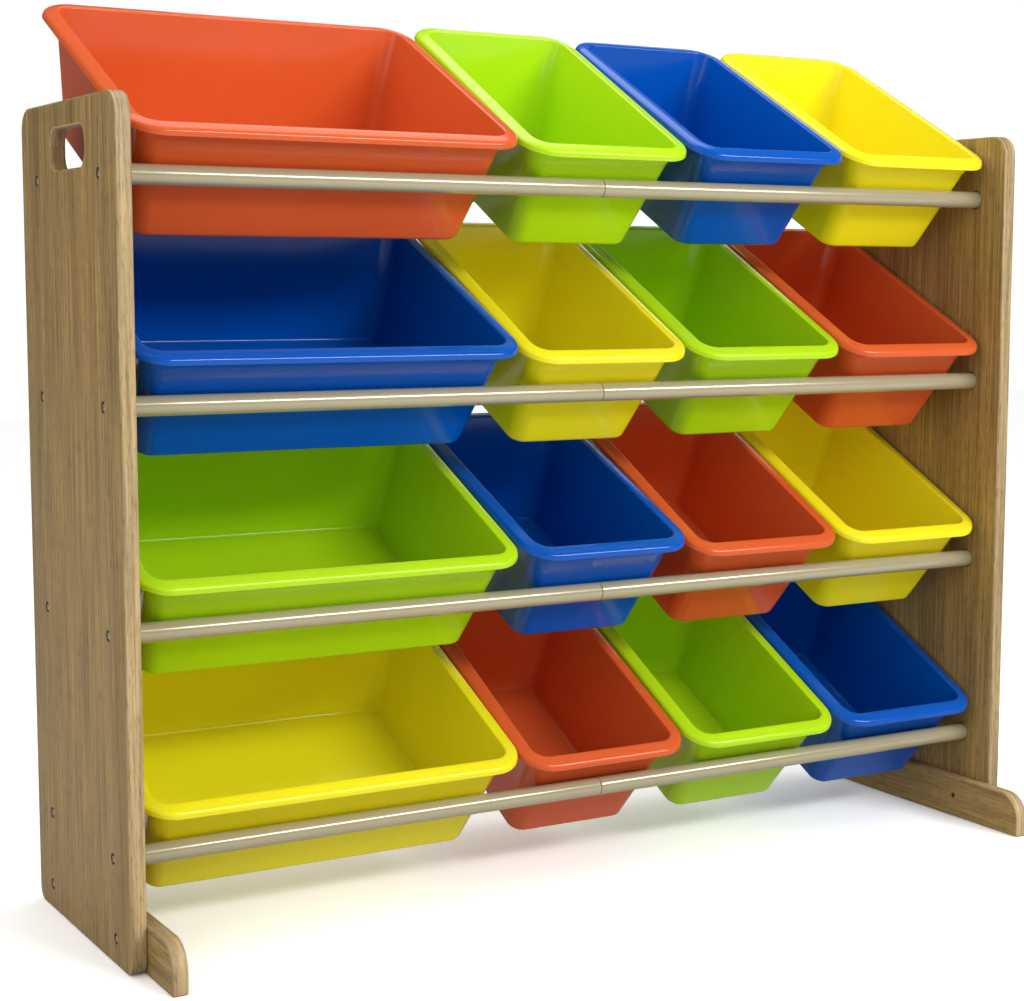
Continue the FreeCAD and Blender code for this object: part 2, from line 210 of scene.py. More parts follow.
class StudioSettings(bpy.types.PropertyGroup):
    camera_place: lengths_prop(
        "Camera place", "Where the camera stands", (-1.0816, -1.8066, 0.6280)
    )
    camera_turn: bpy.props.FloatVectorProperty(
        name="Camera turn",
        description="Yaw from +Y towards +X, pitch and roll",
        size=3,
        default=(0.5448, -0.1116, 0.0041),
        subtype="EULER",
    )
    lens: bpy.props.FloatProperty(
        name="Lens", description="Focal length in millimetres", default=70.15
    )
    shift: bpy.props.FloatProperty(
        name="Shift", description="Sideways shift that frames the picture", default=-0.0579
    )
    floor_size: length_prop("Floor size", "Width of the floor", 14.0)
    floor_colour: colour_prop(
        "Floor colour",
        "Colour of the studio floor as the camera sees it, past 1 to wash it out",
        (1.42, 1.42, 1.42),
    )
    sky_strength: bpy.props.FloatProperty(
        name="Surround", description="Strength of the light from all round", default=0.72
    )
    sky_gloss: bpy.props.FloatProperty(
        name="Surround in gloss",
        description="Share of the surround that shows as a reflection",
        default=0.15,
    )
    backdrop_strength: bpy.props.FloatProperty(
        name="Backdrop", description="Strength of the light from behind the organizer", default=1.08
    )
    floor_glow: bpy.props.FloatProperty(
        name="Floor glow", description="How much the floor is lifted towards white", default=0.09
    )
    floor_bounce: bpy.props.FloatProperty(
        name="Floor bounce", description="Share of light that the floor sends up", default=0.62
    )


# ---------------------------------------------------------------- materials


def feed(links, socket, value):
    """Joins another node's socket to this one, or gives it a plain value."""
    if isinstance(value, bpy.types.NodeSocket):
        links.new(value, socket)
    else:
        socket.default_value = value


class Finish:
    """A material's node tree with short calls to add nodes and join them."""

    def __init__(self, name):
        self.material = bpy.data.materials.new(name)
        self.material.use_nodes = True
        self.nodes = self.material.node_tree.nodes
        self.links = self.material.node_tree.links
        self.shader = self.nodes["Principled BSDF"]

    def node(self, kind, **inputs):
        node = self.nodes.new("ShaderNode" + kind)
        for name, value in inputs.items():
            feed(self.links, node.inputs[name.replace("_", " ")], value)
        return node

    def set(self, name, value):
        feed(self.links, self.shader.inputs[name], value)

    def place(self):
        """The piece's own coordinates, in metres."""
        return self.node("TexCoord").outputs["Object"]

    def noise(self, place, scale, detail=3.0, rough=0.5, distortion=0.0):
        return self.node(
            "TexNoise",
            Vector=place,
            Scale=scale,
            Detail=detail,
            Roughness=rough,
            Distortion=distortion,
        ).outputs["Fac"]

    def ramp(self, factor, stops):
        """A colour ramp; stops are (position, grey or colour)."""
        node = self.node("ValToRGB", Fac=factor)
        band = node.color_ramp
        while len(band.elements) < len(stops):
            band.elements.new(0.5)
        for element, (position, tone) in zip(band.elements, stops):
            element.position = position
            rgb = (tone,) * 3 if isinstance(tone, (int, float)) else tuple(tone)
            element.color = (*rgb, 1.0)
        return node.outputs["Color"]

    def spread(self, factor, low, high):
        """A value from 0 to 1 brought into the range low to high."""
        node = self.node("MapRange", Value=factor, To_Min=low, To_Max=high)
        return node.outputs["Result"]

    def mix(self, factor, first, second, blend="MIX"):
        """Two colours mixed. The node's colour sockets are found by type, not by name."""
        node = self.nodes.new("ShaderNodeMix")
        node.data_type = "RGBA"
        node.blend_type = blend
        feed(self.links, node.inputs["Factor"], factor)
        sockets = [s for s in node.inputs if s.type == "RGBA"]
        for socket, value in zip(sockets, (first, second)):
            if not isinstance(value, bpy.types.NodeSocket):
                value = (*tuple(value)[:3], 1.0)
            feed(self.links, socket, value)
        return next(s for s in node.outputs if s.type == "RGBA")

    def bump(self, height, strength, distance):
        node = self.node("Bump", Height=height, Strength=strength, Distance=distance)
        self.set("Normal", node.outputs["Normal"])


def shade(colour, factor):
    return tuple(min(1.0, c * factor) for c in colour)


GRAIN_LAYERS = {  # how far each layer is drawn out along the grain, and its scale across it
    "figure": (0.05, 24.0),
    "streaks": (0.022, 290.0),
    "pores": (0.10, 620.0),
    "drift": (0.12, 9.0),
}


def oak(name, colour, start):
    """Oak-grain foil on the boards' grain map: U goes across the grain and V along it, in metres.

    start moves the pattern, so that no two boards look the same.
    """
    finish = Finish(name)
    grain_map = finish.nodes.new("ShaderNodeUVMap")
    grain_map.uv_map = GRAIN_MAP
    place = finish.node("Mapping", Vector=grain_map.outputs["UV"], Location=(start, start, 0.0))

    def layer(which, **kind):
        stretch, scale = GRAIN_LAYERS[which]
        along = finish.node("Mapping", Vector=place.outputs["Vector"], Scale=(1.0, stretch, 1.0))
        return finish.noise(along.outputs["Vector"], scale, **kind)

    figure = layer("figure", detail=4.0, rough=0.5, distortion=1.2)
    bands = finish.ramp(
        figure,
        [
            (0.30, shade(colour, 0.74)),
            (0.45, shade(colour, 0.94)),
            (0.56, shade(colour, 1.06)),
            (0.72, shade(colour, 1.20)),
        ],
    )
    streaks = layer("streaks", detail=3.0, rough=0.65)
    lines = finish.ramp(streaks, [(0.36, 0.66), (0.50, 0.97), (0.64, 1.30)])
    streaked = finish.mix(0.92, bands, lines, "MULTIPLY")
    specks = layer("pores", detail=2.0)
    pores = finish.ramp(specks, [(0.36, 0.45), (0.46, 1.0)])
    pored = finish.mix(0.50, streaked, pores, "MULTIPLY")
    warm = layer("drift", detail=2.0)
    tint = finish.ramp(warm, [(0.35, (0.97, 0.98, 0.97)), (0.65, (1.04, 1.0, 0.90))])
    finish.set("Base Color", finish.mix(1.0, pored, tint, "MULTIPLY"))
    finish.set("Roughness", finish.spread(streaks, 0.36, 0.56))
    finish.set("Specular IOR Level", 0.4)
    finish.bump(streaks, 0.15, 0.0004)
    return finish.material


def shaded_board_core(name):
    """Raw brown fibreboard that shows inside the bored holes, made darker than raw board as painted
    shade in the holes.
    """
    finish = Finish(name)
    fibre = finish.noise(finish.place(), 700.0, detail=3.0)
    # dark brown tones: the board's own core, darkened further as painted shade inside the holes
    tones = [(0.3, (0.10, 0.064, 0.034)), (0.7, (0.20, 0.132, 0.074))]
    finish.set("Base Color", finish.ramp(fibre, tones))
    finish.set("Roughness", finish.spread(fibre, 0.75, 0.95))
    finish.bump(fibre, 0.2, 0.0003)
    return finish.material


def moulded_plastic(name, colour):
    """Smooth satin plastic: slightly cloudy in tone, with a faint mould texture."""
    finish = Finish(name)
    place = finish.place()
    cloud = finish.noise(place, 9.0, detail=2.0)
    tone = finish.ramp(cloud, [(0.3, 0.95), (0.7, 1.0)])
    finish.set("Base Color", finish.mix(1.0, colour, tone, "MULTIPLY"))
    scuffs = finish.noise(place, 60.0, detail=4.0, rough=0.65)
    finish.set("Roughness", finish.spread(scuffs, 0.13, 0.20))
    finish.set("IOR", 1.46)
    finish.set("Specular IOR Level", 0.42)
    finish.set("Subsurface Weight", 0.28)
    finish.set("Subsurface Radius", (0.6, 0.6, 0.6))
    finish.set("Subsurface Scale", 0.006)
    flow = finish.noise(place, 26.0, detail=2.0)
    finish.bump(flow, 0.03, 0.0015)
    return finish.material


def rod_paint(name, colour):
    """Glossy champagne paint on steel, with a fine flake and a little orange peel."""
    finish = Finish(name)
    place = finish.place()
    cloud = finish.noise(place, 35.0, detail=2.0)
    tone = finish.ramp(cloud, [(0.3, 0.97), (0.7, 1.0)])
    finish.set("Base Color", finish.mix(1.0, colour, tone, "MULTIPLY"))
    finish.set("Metallic", 0.15)
    finish.set("Roughness", finish.spread(cloud, 0.20, 0.25))
    finish.set("Coat Weight", 0.5)
    finish.set("Coat Roughness", 0.06)
    peel = finish.noise(place, 120.0, detail=1.0)
    finish.bump(peel, 0.02, 0.0003)
    return finish.material


def zinc(name):
    """Warm zinc on the screws, slightly blotched."""
    finish = Finish(name)
    place = finish.place()
    blotch = finish.noise(place, 420.0, detail=3.0)
    tones = [(0.3, (0.50, 0.43, 0.31)), (0.7, (0.72, 0.64, 0.48))]
    finish.set("Base Color", finish.ramp(blotch, tones))
    finish.set("Metallic", 0.75)
    finish.set("Roughness", finish.spread(blotch, 0.30, 0.46))
    finish.bump(blotch, 0.05, 0.0001)
    return finish.material


def fitting_plastic(name):
    """Dull black plastic of the plugs and pins."""
    finish = Finish(name)
    place = finish.place()
    cloud = finish.noise(place, 90.0, detail=3.0)
    finish.set("Base Color", finish.ramp(cloud, [(0.3, 0.045), (0.7, 0.065)]))
    finish.set("Roughness", finish.spread(cloud, 0.5, 0.65))
    finish.bump(cloud, 0.08, 0.0002)
    return finish.material


# ---------------------------------------------------------------- mesh helpers


def quarter_turn(steps=ROUND_STEPS):
    """Pairs of one less cosine and one less sine, at even steps over a quarter turn."""
    turns = [math.pi / 2 * step / steps for step in range(steps + 1)]
    return [(1 - math.cos(turn), 1 - math.sin(turn)) for turn in turns]


def round_rectangle(half_across, half_up, radii):
    """Points round a rectangle, anticlockwise. radii is one radius or four, from high right."""
    if isinstance(radii, (int, float)):
        radii = [radii] * 4
    points = []
    for quarter, (across, up) in enumerate([(1, 1), (-1, 1), (-1, -1), (1, -1)]):
        radius = max(radii[quarter], SMALLEST_RADIUS)
        for step in range(CORNER_STEPS + 1):
            angle = math.pi / 2 * (quarter + step / CORNER_STEPS)
            x = (half_across - radius) * across + radius * math.cos(angle)
            y = (half_up - radius) * up + radius * math.sin(angle)
            points.append((x, y))
    return points


def circle(centre, radius):
    turns = [2 * math.pi * i / HOLE_STEPS for i in range(HOLE_STEPS)]
    return [(centre[0] + radius * math.cos(t), centre[1] + radius * math.sin(t)) for t in turns]


def add_loop(mesh, points):
    """Vertices and edges of a closed loop."""
    verts = [mesh.verts.new(p) for p in points]
    for start, stop in zip(verts, verts[1:] + verts[:1]):
        mesh.edges.new((start, stop))
    return verts


def join_loops(mesh, first, second, material=FACE):
    count = len(first)
    for i in range(count):
        j = (i + 1) % count
        face = mesh.faces.new((first[i], first[j], second[j], second[i]))
        face.material_index = material


def loop_edges(mesh, loops):
    edges = []
    for verts in loops:
        for start, stop in zip(verts, verts[1:] + verts[:1]):
            edges.append(mesh.edges.get((start, stop)))
    return edges


def fill_between(mesh, loops, normal):
    """A flat face bounded by the first loop with the others as holes in it."""
    bmesh.ops.triangle_fill(
        mesh, edges=loop_edges(mesh, loops), use_beauty=True, use_dissolve=False, normal=normal
    )


def finished_object(name, mesh, materials, sharp_degrees=SHARP_ANGLE):
    """A mesh object at the origin, with outward faces, smooth but for its sharp edges."""
    bmesh.ops.recalc_face_normals(mesh, faces=mesh.faces)
    data = bpy.data.meshes.new(name)
    mesh.to_mesh(data)
    mesh.free()
    for material in materials:
        data.materials.append(material)
    smooth(data, sharp_degrees)
    obj = bpy.data.objects.new(name, data)
    bpy.context.scene.collection.objects.link(obj)
    return obj


def smooth(data, sharp_degrees):
    for polygon in data.polygons:
        polygon.use_smooth = True
    data.set_sharp_from_angle(angle=math.radians(sharp_degrees))


# ---------------------------------------------------------------- boards

BROKEN_EDGE = 0.35 * MM  # the small chamfer round a bored hole
GRAIN_SHIFT = 3.0  # moves the grain from one face of a board to the other, per metre of thickness
BAND_START = 0.7  # moves the edge band's pattern away from its board's
PANEL_START, FOOT_START = 1.3, 2.9  # where the boards are cut from the pattern
FOOT_HOLE_SHARE = 0.6  # depth of a foot's screw holes over its thickness
BASE_CORNER_SHARE = 1.5  # a foot's lower corners over its eased edge


def grain_layer(mesh):
    return mesh.loops.layers.uv.get(GRAIN_MAP) or mesh.loops.layers.uv.new(GRAIN_MAP)


def board_loops(mesh, outline, sign, ease, outer_face):
    """A board's edge wall round an outline. Gives its loops in the outer and the inner face.

    outline(inset) gives the loop drawn in by inset; both faces' edges are eased by a radius.
    The grain of the edge band runs along the outline.
    """
    rounding = [(ease * depth, ease * inset) for depth, inset in quarter_turn()]
    rings = rounding + [(BOARD - depth, inset) for depth, inset in reversed(rounding)]
    loops = []
    for depth, inset in rings:
        x = outer_face - sign * depth
        loops.append(add_loop(mesh, [(x, y, z) for y, z in outline(inset)]))
    grain = grain_layer(mesh)
    middle = loops[len(loops) // 2]
    reach = [0.0]
    for start, stop in zip(middle, middle[1:] + middle[:1]):
        reach.append(reach[-1] + (stop.co - start.co).length)
    count = len(middle)
    for first, second in zip(loops, loops[1:]):
        for i in range(count):
            j = (i + 1) % count
            face = mesh.faces.new((first[i], first[j], second[j], second[i]))
            face.material_index = BAND
            for corner, length in zip(face.loops, (reach[i], reach[i + 1], reach[i + 1], reach[i])):
                corner[grain].uv = (corner.vert.co.x, length)
    return loops[0], loops[-1]


def sunk_hole(mesh, centre, radius, face_x, depth, sign):
    """A round blind hole from a face, with a broken edge, lined with the board core darkened as
    painted shade. Gives the loop in the face.
    """
    mouth = add_loop(mesh, [(face_x, y, z) for y, z in circle(centre, radius + BROKEN_EDGE)])
    neck = add_loop(mesh, [(face_x - sign * BROKEN_EDGE, y, z) for y, z in circle(centre, radius)])
    floor = add_loop(mesh, [(face_x - sign * depth, y, z) for y, z in circle(centre, radius)])
    join_loops(mesh, mouth, neck, SHADED_CORE)
    join_loops(mesh, neck, floor, SHADED_CORE)
    mesh.faces.new(floor).material_index = SHADED_CORE
    return mouth


def map_faces(mesh, along):
    """Lays the grain map over a board's two broad faces. along is the axis of the grain."""
    grain = grain_layer(mesh)
    for face in mesh.faces:
        if face.material_index != FACE:
            continue
        for corner in face.loops:
            place = corner.vert.co
            across, run = (place.y, place.z) if along == "Z" else (place.z, place.y)
            corner[grain].uv = (across + GRAIN_SHIFT * place.x, run)


def finished_board(node, mesh, board, along, start):
    """A board's object with its foil, edge band and core darkened as painted shade, on the frame in
    place of its node.
    """
    map_faces(mesh, along)
    foil = oak("oak_" + node, board.wood_colour, start)
    band = oak("edge_band_" + node, board.edge_colour, start + BAND_START)
    # the core material is the raw board darkened as painted shade for the bored holes
    piece = finished_object("board_" + node, mesh, [foil, band, shaded_board_core("core_" + node)])
    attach(piece, FRAME_BODY)
    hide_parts(node)


class ORGANIZER_OT_panels(bpy.types.Operator):
    """Side panels with eased edges, handle slots, rod sockets and screw recesses"""

    bl_idname = "organizer.panels"
    bl_label = "Side Panels"

    def execute(self, context):
        board = context.scene.organizer_board
        slot_y = PANEL_LOW.y + board.slot_place[0]
        slot_z = board.slot_place[1]
        half_depth = (PANEL_HIGH.y - PANEL_LOW.y) / 2
        half_height = (PANEL_HIGH.z - PANEL_LOW.z) / 2
        middle = (PANEL_HIGH + PANEL_LOW) / 2

        def outline(inset):
            corners = [board.top_corner] * 2 + [board.low_corner] * 2
            corners = [c - inset for c in corners]
            points = round_rectangle(half_depth - inset, half_height - inset, corners)
            return [(middle.y + y, middle.z + z) for y, z in points]

        def slot(inset):
            half_length = board.slot_size[0] / 2 + inset
            half_width = board.slot_size[1] / 2 + inset
            points = round_rectangle(half_length, half_width, board.slot_corner + inset)
            return [(slot_y + y, slot_z + z) for y, z in points]

        screws = ROD_LINES + FOOT_SCREW_LINES
        for side, sign in SIDES.items():
            mesh = bmesh.new()
            outer_x = sign * OUTER_FACE
            inner_x = sign * INNER_FACE
            outer_edge, inner_edge = board_loops(mesh, outline, sign, board.eased_edge, outer_x)
            outer_slot, inner_slot = board_loops(mesh, slot, sign, board.eased_edge, outer_x)
            recesses = [
                sunk_hole(mesh, place, board.recess_radius, outer_x, board.recess_depth, sign)
                for place in screws
            ]
            socket_radius = ROD_RADIUS + board.socket_play
            socket_depth = ROD_END - INNER_FACE
            sockets = [
                sunk_hole(mesh, place, socket_radius, inner_x, socket_depth, -sign)
                for place in ROD_LINES
            ]
            fill_between(mesh, [outer_edge, outer_slot, *recesses], (sign, 0, 0))
            fill_between(mesh, [inner_edge, inner_slot, *sockets], (-sign, 0, 0))
            finished_board(side + "_side_panel", mesh, board, "Z", PANEL_START * sign)
        return {"FINISHED"}


class ORGANIZER_OT_feet(bpy.types.Operator):
    """Feet with rounded toes beside the side panels"""

    bl_idname = "organizer.feet"
    bl_label = "Feet"

    def execute(self, context):
        board = context.scene.organizer_board
        half_length = (FOOT_HIGH.y - FOOT_LOW.y) / 2
        half_height = (FOOT_HIGH.z - FOOT_LOW.z) / 2
        middle = (FOOT_HIGH + FOOT_LOW) / 2
        base_corner = board.eased_edge * BASE_CORNER_SHARE

        def outline(inset):
            corners = (board.low_corner, board.toe_corner, base_corner, base_corner)
            corners = [c - inset for c in corners]
            points = round_rectangle(half_length - inset, half_height - inset, corners)
            return [(middle.y + y, middle.z + z) for y, z in points]

        for side, sign in SIDES.items():
            mesh = bmesh.new()
            outer_x = sign * -FOOT_LOW.x
            inner_x = outer_x - sign * BOARD
            outer_edge, inner_edge = board_loops(mesh, outline, sign, board.eased_edge, outer_x)
            depth = BOARD * FOOT_HOLE_SHARE
            holes = [
                sunk_hole(mesh, place, board.foot_screw_radius, inner_x, depth, -sign)
                for place in FOOT_SCREW_LINES
            ]
            fill_between(mesh, [outer_edge], (sign, 0, 0))
            fill_between(mesh, [inner_edge, *holes], (-sign, 0, 0))
            finished_board(side + "_foot", mesh, board, "Y", FOOT_START * sign)
        return {"FINISHED"}


# ---------------------------------------------------------------- geometry node trees

TUBE_STEPS = 72
TUBE_END_STEPS = 4
HEAD_STEPS = 32
SHANK_STEPS = 24
DOME_SHARE = 0.72  # radius of a screw head's top over its full radius
SHANK_SHARE = 0.499  # just under half, so that the shank runs into its head
ARM_SHARE = 1.15  # length of the cross in a head over the head's radius


class Tree:
    """A geometry node tree with named inputs and a realized, painted result."""

    def __init__(self, name, inputs):
        self.tree = bpy.data.node_groups.new(name, "GeometryNodeTree")
        interface = self.tree.interface
        interface.new_socket("Geometry", in_out="INPUT", socket_type="NodeSocketGeometry")
        for label, kind in inputs.items():
            interface.new_socket(label, in_out="INPUT", socket_type="NodeSocket" + kind)
        interface.new_socket("Geometry", in_out="OUTPUT", socket_type="NodeSocketGeometry")
        self.given = self.tree.nodes.new("NodeGroupInput").outputs
        self.result = self.tree.nodes.new("NodeGroupOutput")

    def node(self, kind, settings=None, **inputs):
        node = self.tree.nodes.new(kind)
        for name, value in (settings or {}).items():
            setattr(node, name, value)
        for name, value in inputs.items():
            feed(self.tree.links, node.inputs[name.replace("_", " ")], value)
        return node

    def maths(self, operation, first, second):
        node = self.tree.nodes.new("ShaderNodeMath")
        node.operation = operation
        for socket, value in zip(node.inputs, (first, second)):
            feed(self.tree.links, socket, value)
        return node.outputs[0]

    def vector(self, x=0.0, y=0.0, z=0.0):
        return self.node("ShaderNodeCombineXYZ", X=x, Y=y, Z=z).outputs[0]

    def end_with(self, geometry):
        real = self.node("GeometryNodeRealizeInstances", Geometry=geometry)
        painted = self.node(
            "GeometryNodeSetMaterial",
            Geometry=real.outputs["Geometry"],
            Material=self.given["Finish"],
        )
        self.tree.links.new(painted.outputs["Geometry"], self.result.inputs["Geometry"])


def rod_tree():
    """A tube along X with rounded ends, made by sweeping its wall's section round it."""
    tree = Tree(
        "rod_half",
        {
            "Length": "Float",
            "Radius": "Float",
            "Wall": "Float",
            "End rounding": "Float",
            "Middle": "Vector",
            "Finish": "Material",
        },
    )
    given = tree.given
    half_wall = tree.maths("MULTIPLY", given["Wall"], 0.5)
    section = tree.node(
        "GeometryNodeCurvePrimitiveQuadrilateral", Width=given["Wall"], Height=given["Length"]
    )
    rounded = tree.node(
        "GeometryNodeFilletCurve",
        {"mode": "POLY"},
        Curve=section.outputs["Curve"],
        Radius=given["End rounding"],
        Count=TUBE_END_STEPS,
    )
    path = tree.node(
        "GeometryNodeCurvePrimitiveCircle",
        Resolution=TUBE_STEPS,
        Radius=tree.maths("SUBTRACT", given["Radius"], half_wall),
    )
    swept = tree.node(
        "GeometryNodeCurveToMesh",
        Curve=path.outputs["Curve"],
        Profile_Curve=rounded.outputs["Curve"],
    )
    laid = tree.node(
        "GeometryNodeTransform",
        Geometry=swept.outputs["Mesh"],
        Translation=given["Middle"],
        Rotation=(0.0, math.pi / 2, 0.0),
    )
    tree.end_with(laid.outputs["Geometry"])
    return tree.tree


def screw_tree():
    """Screws with a domed head and a cross in it, one at each point, heads towards -X."""
    tree = Tree(
        "screws",
        {
            "Head radius": "Float",
            "Head height": "Float",
            "Shank radius": "Float",
            "Shank length": "Float",
            "Drive width": "Float",
            "Turn": "Float",
            "Finish": "Material",
        },
    )
    given = tree.given
    head_radius, head_height = given["Head radius"], given["Head height"]
    half_height = tree.maths("MULTIPLY", head_height, 0.5)
    rim = tree.node(
        "GeometryNodeMeshCylinder",
        Vertices=HEAD_STEPS,
        Radius=head_radius,
        Depth=half_height,
    )
    rim_up = tree.node(
        "GeometryNodeTransform",
        Geometry=rim.outputs["Mesh"],
        Translation=tree.vector(z=tree.maths("MULTIPLY", head_height, 0.25)),
    )
    dome = tree.node(
        "GeometryNodeMeshCone",
        Vertices=HEAD_STEPS,
        Side_Segments=1,
        Radius_Top=tree.maths("MULTIPLY", head_radius, DOME_SHARE),
        Radius_Bottom=head_radius,
        Depth=half_height,
    )
    dome_up = tree.node(
        "GeometryNodeTransform",
        Geometry=dome.outputs["Mesh"],
        Translation=tree.vector(z=half_height),
    )
    shank = tree.node(
        "GeometryNodeMeshCylinder",
        Vertices=SHANK_STEPS,
        Radius=given["Shank radius"],
        Depth=given["Shank length"],
    )
    shank_down = tree.node(
        "GeometryNodeTransform",
        Geometry=shank.outputs["Mesh"],
        Translation=tree.vector(z=tree.maths("MULTIPLY", given["Shank length"], -SHANK_SHARE)),
    )
    solid = tree.node("GeometryNodeMeshBoolean", {"operation": "UNION", "solver": "EXACT"})
    for part in (rim_up, dome_up, shank_down):
        tree.tree.links.new(part.outputs["Geometry"], solid.inputs["Mesh 2"])
    arm_length = tree.maths("MULTIPLY", head_radius, ARM_SHARE)
    long_way = tree.vector(arm_length, given["Drive width"], head_height)
    wide_way = tree.vector(given["Drive width"], arm_length, head_height)
    driven = tree.node(
        "GeometryNodeMeshBoolean",
        {"operation": "DIFFERENCE", "solver": "EXACT"},
        Mesh_1=solid.outputs["Mesh"],
    )
    for size in (long_way, wide_way):
        arm = tree.node("GeometryNodeMeshCube", Size=size)
        raised = tree.node(
            "GeometryNodeTransform",
            Geometry=arm.outputs["Mesh"],
            Translation=tree.vector(z=head_height),
        )
        tree.tree.links.new(raised.outputs["Geometry"], driven.inputs["Mesh 2"])
    laid = tree.node(
        "GeometryNodeTransform",
        Geometry=driven.outputs["Mesh"],
        Rotation=(0.0, -math.pi / 2, 0.0),
    )
    placed = tree.node(
        "GeometryNodeInstanceOnPoints",
        Points=given["Geometry"],
        Instance=laid.outputs["Geometry"],
        Rotation=tree.vector(z=given["Turn"]),
    )
    tree.end_with(placed.outputs["Instances"])
    return tree.tree


def made_by_tree(name, tree, points, values):
    """A plain mesh object that holds what a tree makes from points and named values."""
    base = bpy.data.meshes.new(name + "_points")
    base.from_pydata(points, [], [])
    worker = bpy.data.objects.new(name + "_worker", base)
    bpy.context.scene.collection.objects.link(worker)
    modifier = worker.modifiers.new("tree", "NODES")
    modifier.node_group = tree
    for item in tree.interface.items_tree:
        if item.in_out == "INPUT" and item.name in values:
            modifier[item.identifier] = values[item.name]
    depsgraph = bpy.context.evaluated_depsgraph_get()
    data = bpy.data.meshes.new_from_object(worker.evaluated_get(depsgraph), depsgraph=depsgraph)
    data.name = name
    worker.modifiers.clear()
    bpy.data.objects.remove(worker)
    bpy.data.meshes.remove(base)
    mesh = bmesh.new()
    mesh.from_mesh(data)
    bmesh.ops.remove_doubles(mesh, verts=mesh.verts, dist=MERGE_DISTANCE)
    bmesh.ops.recalc_face_normals(mesh, faces=mesh.faces)
    mesh.to_mesh(data)
    mesh.free()
    smooth(data, SHARP_ANGLE)
    obj = bpy.data.objects.new(name, data)
    bpy.context.scene.collection.objects.link(obj)
    return obj


class ORGANIZER_OT_rods(bpy.types.Operator):
    """Painted tubes in two halves, one pair for each rod line"""

    bl_idname = "organizer.rods"
    bl_label = "Rods"

    def execute(self, context):
        rod = context.scene.organizer_rod
        tree = rod_tree()
        paint = rod_paint("rod_paint", rod.paint_colour)
        for node in ROD_NODES:
            low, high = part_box(node)
            length = high.x - low.x - rod.seam / 2
            sign = 1 if node.endswith("_right") else -1
            middle = (low + high) / 2
            middle.x += sign * rod.seam / 4
            values = {
                "Length": length,
                "Radius": ROD_RADIUS,
                "Wall": rod.wall,
                "End rounding": rod.end_round,
                "Middle": middle,
                "Finish": paint,
            }
            half = made_by_tree("tube_" + node, tree, [(0, 0, 0)], values)
            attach(half, FRAME_BODY)
            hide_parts(node)
        return {"FINISHED"}


class ORGANIZER_OT_fittings(bpy.types.Operator):
    """Plastic plugs and pins inside the rods"""

    bl_idname = "organizer.fittings"
    bl_label = "Plugs and Pins"

    def execute(self, context):
        plastic = fitting_plastic("fitting_plastic")
        for node in ("rod_joining_pins", "left_rod_end_plugs", "right_rod_end_plugs"):
            obj = frame["nodes"][node]
            if not obj.material_slots:
                obj.data.materials.append(plastic)
            for slot in obj.material_slots:
                slot.material = plastic
        return {"FINISHED"}


class ORGANIZER_OT_screws(bpy.types.Operator):
    """Screws in the recesses of the side panels"""

    bl_idname = "organizer.screws"
    bl_label = "Screws"

    def execute(self, context):
        screw = context.scene.organizer_screw
        recess_floor = OUTER_FACE - context.scene.organizer_board.recess_depth
        tree = screw_tree()
        steel = zinc("screw_steel")
        for side, sign in SIDES.items():
            for kind, lines in (("rod", ROD_LINES), ("foot", FOOT_SCREW_LINES)):
                node = side + "_" + kind + "_screws"
                low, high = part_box(node)
                length = (high.x - low.x) - screw.head_height
                points = [(sign * recess_floor, y, z) for y, z in lines]
                values = {
                    "Head radius": screw.head_radius,
                    "Head height": screw.head_height,
                    "Shank radius": screw.shank_radius,
                    "Shank length": length,
                    "Drive width": screw.drive_width,
                    "Turn": 0.0 if sign < 0 else math.pi,
                    "Finish": steel,
                }
                obj = made_by_tree("screws_" + side + "_" + kind, tree, points, values)
                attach(obj, FRAME_BODY)
                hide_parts(node)
        return {"FINISHED"}


# ---------------------------------------------------------------- bins

INNER_ROLL = 1.7 * MM  # radius where the rim turns down into the tub
DOME = 1.2 * MM  # fall of the rim from its inner to its outer edge
DOME_RINGS = (0.08, 0.22, 0.45, 0.7, 0.92)  # rings across the dome, as shares of its width
LIP_WAIST = 0.5 * MM  # how far the lip's wall stands in from its foot
LIP_FOOT_TOP, LIP_FOOT_LOW = 2.4 * MM, 1.7 * MM  # heights between which the lip's foot flares
LIP_FLARE = 0.35  # what is left of the waist at the flare's lower end
LIP_EDGE = 0.7 * MM  # rounding along the lip's lower edge
LIP_EDGE_STEPS = 3
LIP_WALL_SHARE = 0.8  # the lip's wall over the bin's wall
NECK_ROUND = 1.6 * MM  # fillet between the flange and the tub
SHOULDER_DEPTH, SHOULDER_STEP = 20 * MM, 0.7 * MM  # the tub's slightly wider part below the rim
SHOULDER_SLOPE = ((1.0, 0.0), (0.6, 0.9), (0.0, 2.2))  # out and down, as shares of its step
INNER_WALL_RING, OUTER_WALL_RING = 0.5, 0.6  # depth of a ring in each wall over the height
INNER_ROUND = 3.0 * MM  # radius along the floor's inner edge
FOOT_RING, FOOT_RING_STEP = 6 * MM, 1 * MM  # the flat that the bin stands on, and its inner slope
FLOOR_STEP = 0.7 * MM  # how far the floor is raised inside that ring
BIN_SHARP_ANGLE = 50


def arc_points(centre, radius, start, stop, steps):
    """Points (across, up) on an arc, angles in degrees."""
    points = []
    for step in range(steps + 1):
        angle = math.radians(start + (stop - start) * step / steps)
        points.append((centre[0] + radius * math.cos(angle), centre[1] + radius * math.sin(angle)))
    return points


